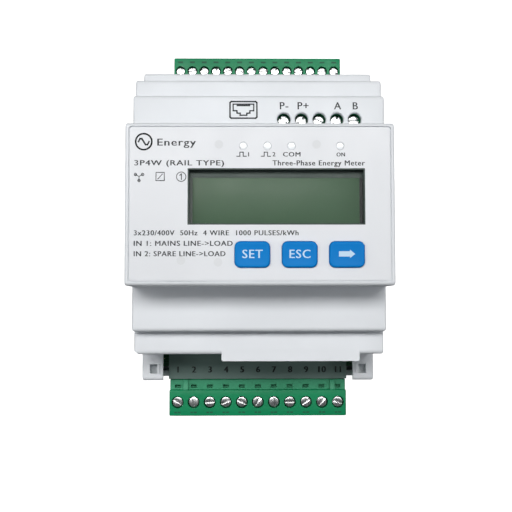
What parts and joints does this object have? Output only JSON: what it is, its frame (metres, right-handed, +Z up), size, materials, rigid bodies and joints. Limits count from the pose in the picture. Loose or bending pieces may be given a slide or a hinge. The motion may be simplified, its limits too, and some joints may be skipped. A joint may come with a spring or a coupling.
{
  "type": "smart electric meter",
  "caption": "Three-phase energy meter for a 35 mm rail: stepped housing, display, three push buttons, plug-in screw terminal strips above and below, sprung rail clip.",
  "frame": {"origin": "middle of the rail seat, the flat back face that rests against the front of a 35 mm rail", "axes": "+X to the meter's right as seen from the front, +Z up, +Y from the front into the rail"},
  "size_m": [0.072, 0.0664, 0.1147],
  "materials": {
    "housing_plastic": "light grey moulded plastic, fine satin texture",
    "printed_film": "satin printed film",
    "clear_window": "clear flat pane",
    "display_glass": "grey-green liquid crystal glass",
    "white_diffuser": "white light block",
    "board_laminate": "green solder resist",
    "switch_black": "black moulded",
    "light_guide_clear": "clear-white moulded",
    "ribbon_grey": "flat cable",
    "transformer_black": "potted block",
    "capacitor_sleeve": "shrink sleeve",
    "cell_steel": "nickelled steel",
    "jack_shield": "tinned shield",
    "terminal_green": "green moulded, slight sheen",
    "header_green": "dark grey-green moulded",
    "screw_steel": "bright plated steel",
    "button_blue": "blue moulded, light lettering",
    "clip_plastic": "dark grey moulded",
    "spring_steel": "drawn wire"
  },
  "bodies": {
    "housing": {"rear_housing": "housing_plastic", "front_cover": "housing_plastic", "front_film": "printed_film", "display_window": "clear_window", "display_glass": "display_glass", "backlight_block": "white_diffuser", "display_board": "board_laminate", "set_switch": "switch_black", "escape_switch": "switch_black", "next_switch": "switch_black", "light_guide": "light_guide_clear", "main_board": "board_laminate", "terminal_board": "board_laminate", "board_link": "ribbon_grey", "power_transformer": "transformer_black", "reservoir_capacitor": "capacitor_sleeve", "backup_cell": "cell_steel", "network_jack": "jack_shield", "aux_terminal_block": "terminal_green", "top_header": "header_green", "bottom_header": "header_green", "clip_spring": "spring_steel"},
    "set_button": {"set_button": "button_blue"},
    "escape_button": {"escape_button": "button_blue"},
    "next_button": {"next_button": "button_blue"},
    "rail_clip": {"rail_clip": "clip_plastic"},
    "top_plug": {"top_plug": "terminal_green"},
    "bottom_plug": {"bottom_plug": "terminal_green"},
    "aux_screw_1": {"aux_screw_1": "screw_steel"},
    "aux_screw_2": {"aux_screw_2": "screw_steel"},
    "aux_screw_3": {"aux_screw_3": "screw_steel"},
    "aux_screw_4": {"aux_screw_4": "screw_steel"},
    "aux_screw_5": {"aux_screw_5": "screw_steel"},
    "top_screw_01": {"top_screw_01": "screw_steel"},
    "top_screw_02": {"top_screw_02": "screw_steel"},
    "top_screw_03": {"top_screw_03": "screw_steel"},
    "top_screw_04": {"top_screw_04": "screw_steel"},
    "top_screw_05": {"top_screw_05": "screw_steel"},
    "top_screw_06": {"top_screw_06": "screw_steel"},
    "top_screw_07": {"top_screw_07": "screw_steel"},
    "top_screw_08": {"top_screw_08": "screw_steel"},
    "top_screw_09": {"top_screw_09": "screw_steel"},
    "top_screw_10": {"top_screw_10": "screw_steel"},
    "top_screw_11": {"top_screw_11": "screw_steel"},
    "top_screw_12": {"top_screw_12": "screw_steel"},
    "top_screw_13": {"top_screw_13": "screw_steel"},
    "top_screw_14": {"top_screw_14": "screw_steel"},
    "bottom_screw_01": {"bottom_screw_01": "screw_steel"},
    "bottom_screw_02": {"bottom_screw_02": "screw_steel"},
    "bottom_screw_03": {"bottom_screw_03": "screw_steel"},
    "bottom_screw_04": {"bottom_screw_04": "screw_steel"},
    "bottom_screw_05": {"bottom_screw_05": "screw_steel"},
    "bottom_screw_06": {"bottom_screw_06": "screw_steel"},
    "bottom_screw_07": {"bottom_screw_07": "screw_steel"},
    "bottom_screw_08": {"bottom_screw_08": "screw_steel"},
    "bottom_screw_09": {"bottom_screw_09": "screw_steel"},
    "bottom_screw_10": {"bottom_screw_10": "screw_steel"},
    "bottom_screw_11": {"bottom_screw_11": "screw_steel"}
  },
  "joints": [
    {"name": "set_button_press", "type": "slide", "parent": "housing", "child": "set_button", "axis": [0, 1, 0], "range_m": [0, 0.0008], "stiffness_N_per_m": 500, "springref_m": -0.0006},
    {"name": "escape_button_press", "type": "slide", "parent": "housing", "child": "escape_button", "axis": [0, 1, 0], "range_m": [0, 0.0008], "stiffness_N_per_m": 500, "springref_m": -0.0006},
    {"name": "next_button_press", "type": "slide", "parent": "housing", "child": "next_button", "axis": [0, 1, 0], "range_m": [0, 0.0008], "stiffness_N_per_m": 500, "springref_m": -0.0006},
    {"name": "rail_clip_pull", "type": "slide", "parent": "housing", "child": "rail_clip", "axis": [0, 0, -1], "range_m": [0, 0.0045], "stiffness_N_per_m": 600, "springref_m": -0.003, "deforming": ["clip_spring"]},
    {"name": "top_plug_pull", "type": "slide", "parent": "housing", "child": "top_plug", "axis": [0, 0, 1], "range_m": [0, 0.01]},
    {"name": "bottom_plug_pull", "type": "slide", "parent": "housing", "child": "bottom_plug", "axis": [0, 0, -1], "range_m": [0, 0.013]},
    {"name": "aux_screw_1_turn", "type": "hinge", "parent": "housing", "child": "aux_screw_1", "pos_m": [0.00715, -0.0403, 0.0262], "axis": [0, 1, 0], "range_deg": [-1350, 450]},
    {"name": "aux_screw_2_turn", "type": "hinge", "parent": "housing", "child": "aux_screw_2", "pos_m": [0.01223, -0.0403, 0.0262], "axis": [0, 1, 0], "range_deg": [-1350, 450]},
    {"name": "aux_screw_3_turn", "type": "hinge", "parent": "housing", "child": "aux_screw_3", "pos_m": [0.01731, -0.0403, 0.0262], "axis": [0, 1, 0], "range_deg": [-1350, 450]},
    {"name": "aux_screw_4_turn", "type": "hinge", "parent": "housing", "child": "aux_screw_4", "pos_m": [0.02239, -0.0403, 0.0262], "axis": [0, 1, 0], "range_deg": [-1350, 450]},
    {"name": "aux_screw_5_turn", "type": "hinge", "parent": "housing", "child": "aux_screw_5", "pos_m": [0.02747, -0.0403, 0.0262], "axis": [0, 1, 0], "range_deg": [-1350, 450]},
    {"name": "top_screw_01_turn", "type": "hinge", "parent": "top_plug", "child": "top_screw_01", "pos_m": [-0.02476, -0.012, 0.0485], "axis": [0, 1, 0], "range_deg": [-1170, 270]},
    {"name": "top_screw_02_turn", "type": "hinge", "parent": "top_plug", "child": "top_screw_02", "pos_m": [-0.02096, -0.012, 0.0485], "axis": [0, 1, 0], "range_deg": [-1170, 270]},
    {"name": "top_screw_03_turn", "type": "hinge", "parent": "top_plug", "child": "top_screw_03", "pos_m": [-0.01715, -0.012, 0.0485], "axis": [0, 1, 0], "range_deg": [-1170, 270]},
    {"name": "top_screw_04_turn", "type": "hinge", "parent": "top_plug", "child": "top_screw_04", "pos_m": [-0.01333, -0.012, 0.0485], "axis": [0, 1, 0], "range_deg": [-1170, 270]},
    {"name": "top_screw_05_turn", "type": "hinge", "parent": "top_plug", "child": "top_screw_05", "pos_m": [-0.00953, -0.012, 0.0485], "axis": [0, 1, 0], "range_deg": [-1170, 270]},
    {"name": "top_screw_06_turn", "type": "hinge", "parent": "top_plug", "child": "top_screw_06", "pos_m": [-0.00571, -0.012, 0.0485], "axis": [0, 1, 0], "range_deg": [-1170, 270]},
    {"name": "top_screw_07_turn", "type": "hinge", "parent": "top_plug", "child": "top_screw_07", "pos_m": [-0.00191, -0.012, 0.0485], "axis": [0, 1, 0], "range_deg": [-1170, 270]},
    {"name": "top_screw_08_turn", "type": "hinge", "parent": "top_plug", "child": "top_screw_08", "pos_m": [0.00191, -0.012, 0.0485], "axis": [0, 1, 0], "range_deg": [-1170, 270]},
    {"name": "top_screw_09_turn", "type": "hinge", "parent": "top_plug", "child": "top_screw_09", "pos_m": [0.00571, -0.012, 0.0485], "axis": [0, 1, 0], "range_deg": [-1170, 270]},
    {"name": "top_screw_10_turn", "type": "hinge", "parent": "top_plug", "child": "top_screw_10", "pos_m": [0.00953, -0.012, 0.0485], "axis": [0, 1, 0], "range_deg": [-1170, 270]},
    {"name": "top_screw_11_turn", "type": "hinge", "parent": "top_plug", "child": "top_screw_11", "pos_m": [0.01333, -0.012, 0.0485], "axis": [0, 1, 0], "range_deg": [-1170, 270]},
    {"name": "top_screw_12_turn", "type": "hinge", "parent": "top_plug", "child": "top_screw_12", "pos_m": [0.01715, -0.012, 0.0485], "axis": [0, 1, 0], "range_deg": [-1170, 270]},
    {"name": "top_screw_13_turn", "type": "hinge", "parent": "top_plug", "child": "top_screw_13", "pos_m": [0.02096, -0.012, 0.0485], "axis": [0, 1, 0], "range_deg": [-1170, 270]},
    {"name": "top_screw_14_turn", "type": "hinge", "parent": "top_plug", "child": "top_screw_14", "pos_m": [0.02476, -0.012, 0.0485], "axis": [0, 1, 0], "range_deg": [-1170, 270]},
    {"name": "bottom_screw_01_turn", "type": "hinge", "parent": "bottom_plug", "child": "bottom_screw_01", "pos_m": [-0.0254, -0.012, -0.0577], "axis": [0, 1, 0], "range_deg": [-1350, 450]},
    {"name": "bottom_screw_02_turn", "type": "hinge", "parent": "bottom_plug", "child": "bottom_screw_02", "pos_m": [-0.02032, -0.012, -0.0577], "axis": [0, 1, 0], "range_deg": [-1350, 450]},
    {"name": "bottom_screw_03_turn", "type": "hinge", "parent": "bottom_plug", "child": "bottom_screw_03", "pos_m": [-0.01524, -0.012, -0.0577], "axis": [0, 1, 0], "range_deg": [-1350, 450]},
    {"name": "bottom_screw_04_turn", "type": "hinge", "parent": "bottom_plug", "child": "bottom_screw_04", "pos_m": [-0.01016, -0.012, -0.0577], "axis": [0, 1, 0], "range_deg": [-1350, 450]},
    {"name": "bottom_screw_05_turn", "type": "hinge", "parent": "bottom_plug", "child": "bottom_screw_05", "pos_m": [-0.00508, -0.012, -0.0577], "axis": [0, 1, 0], "range_deg": [-1350, 450]},
    {"name": "bottom_screw_06_turn", "type": "hinge", "parent": "bottom_plug", "child": "bottom_screw_06", "pos_m": [0, -0.012, -0.0577], "axis": [0, 1, 0], "range_deg": [-1350, 450]},
    {"name": "bottom_screw_07_turn", "type": "hinge", "parent": "bottom_plug", "child": "bottom_screw_07", "pos_m": [0.00508, -0.012, -0.0577], "axis": [0, 1, 0], "range_deg": [-1350, 450]},
    {"name": "bottom_screw_08_turn", "type": "hinge", "parent": "bottom_plug", "child": "bottom_screw_08", "pos_m": [0.01016, -0.012, -0.0577], "axis": [0, 1, 0], "range_deg": [-1350, 450]},
    {"name": "bottom_screw_09_turn", "type": "hinge", "parent": "bottom_plug", "child": "bottom_screw_09", "pos_m": [0.01524, -0.012, -0.0577], "axis": [0, 1, 0], "range_deg": [-1350, 450]},
    {"name": "bottom_screw_10_turn", "type": "hinge", "parent": "bottom_plug", "child": "bottom_screw_10", "pos_m": [0.02032, -0.012, -0.0577], "axis": [0, 1, 0], "range_deg": [-1350, 450]},
    {"name": "bottom_screw_11_turn", "type": "hinge", "parent": "bottom_plug", "child": "bottom_screw_11", "pos_m": [0.0254, -0.012, -0.0577], "axis": [0, 1, 0], "range_deg": [-1350, 450]}
  ]
}
